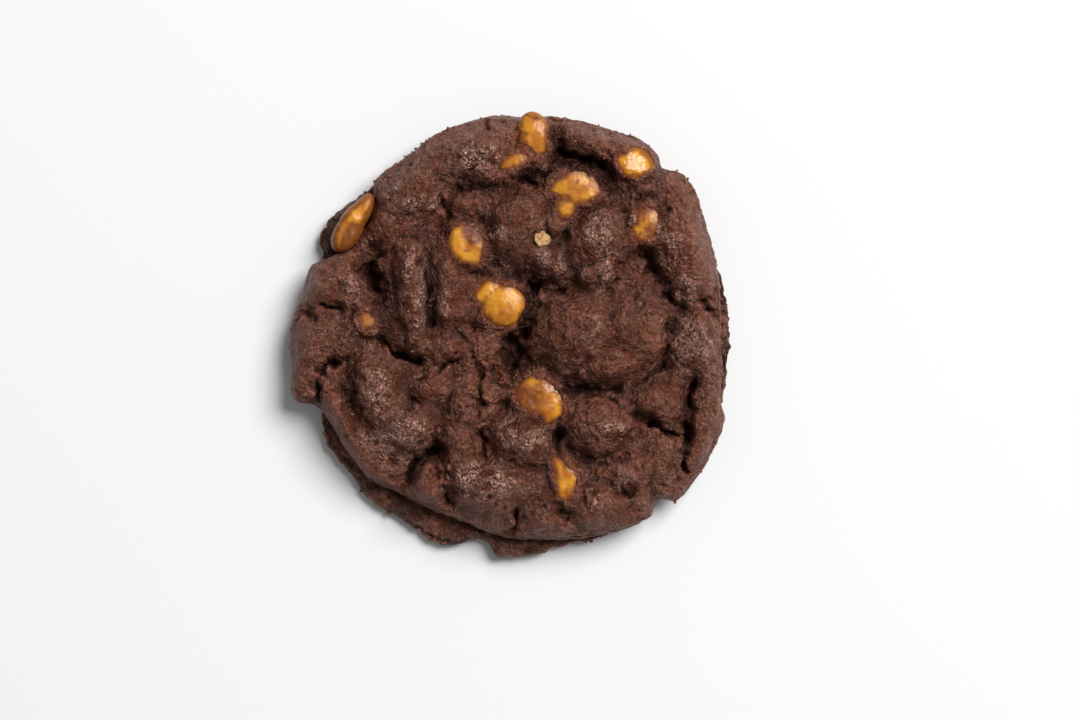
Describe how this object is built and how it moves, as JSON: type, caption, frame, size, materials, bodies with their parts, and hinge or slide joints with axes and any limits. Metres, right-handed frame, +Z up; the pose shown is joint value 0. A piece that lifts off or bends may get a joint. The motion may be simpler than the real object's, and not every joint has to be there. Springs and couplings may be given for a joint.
{
  "type": "chocolate cookie with caramel chips",
  "caption": "Thick round chocolate cookie with a crumpled, cracked top, a layered rim and caramel chips set into it, lying flat.",
  "frame": {"origin": "on the flat face the cookie rests on, under the middle of its outline", "axes": "+Z up through the cookie, out of its crumpled top; +X to the right and +Y away from the viewer, as seen from above"},
  "size_m": [0.0926, 0.0938, 0.0163],
  "materials": {
    "dough": "baked chocolate dough, matt with small greasy glints",
    "chip": "melted caramel, glossy, smeared with dough in places"
  },
  "bodies": {
    "root": {"dough": "dough", "chip_top_rim": "chip", "chip_top_inner": "chip", "chip_top_right": "chip", "chip_upper": "chip", "chip_right": "chip", "chip_left": "chip", "chip_centre": "chip", "chip_rim_left": "chip", "chip_far_left": "chip", "chip_lower": "chip", "chip_bottom": "chip"}
  },
  "joints": []
}
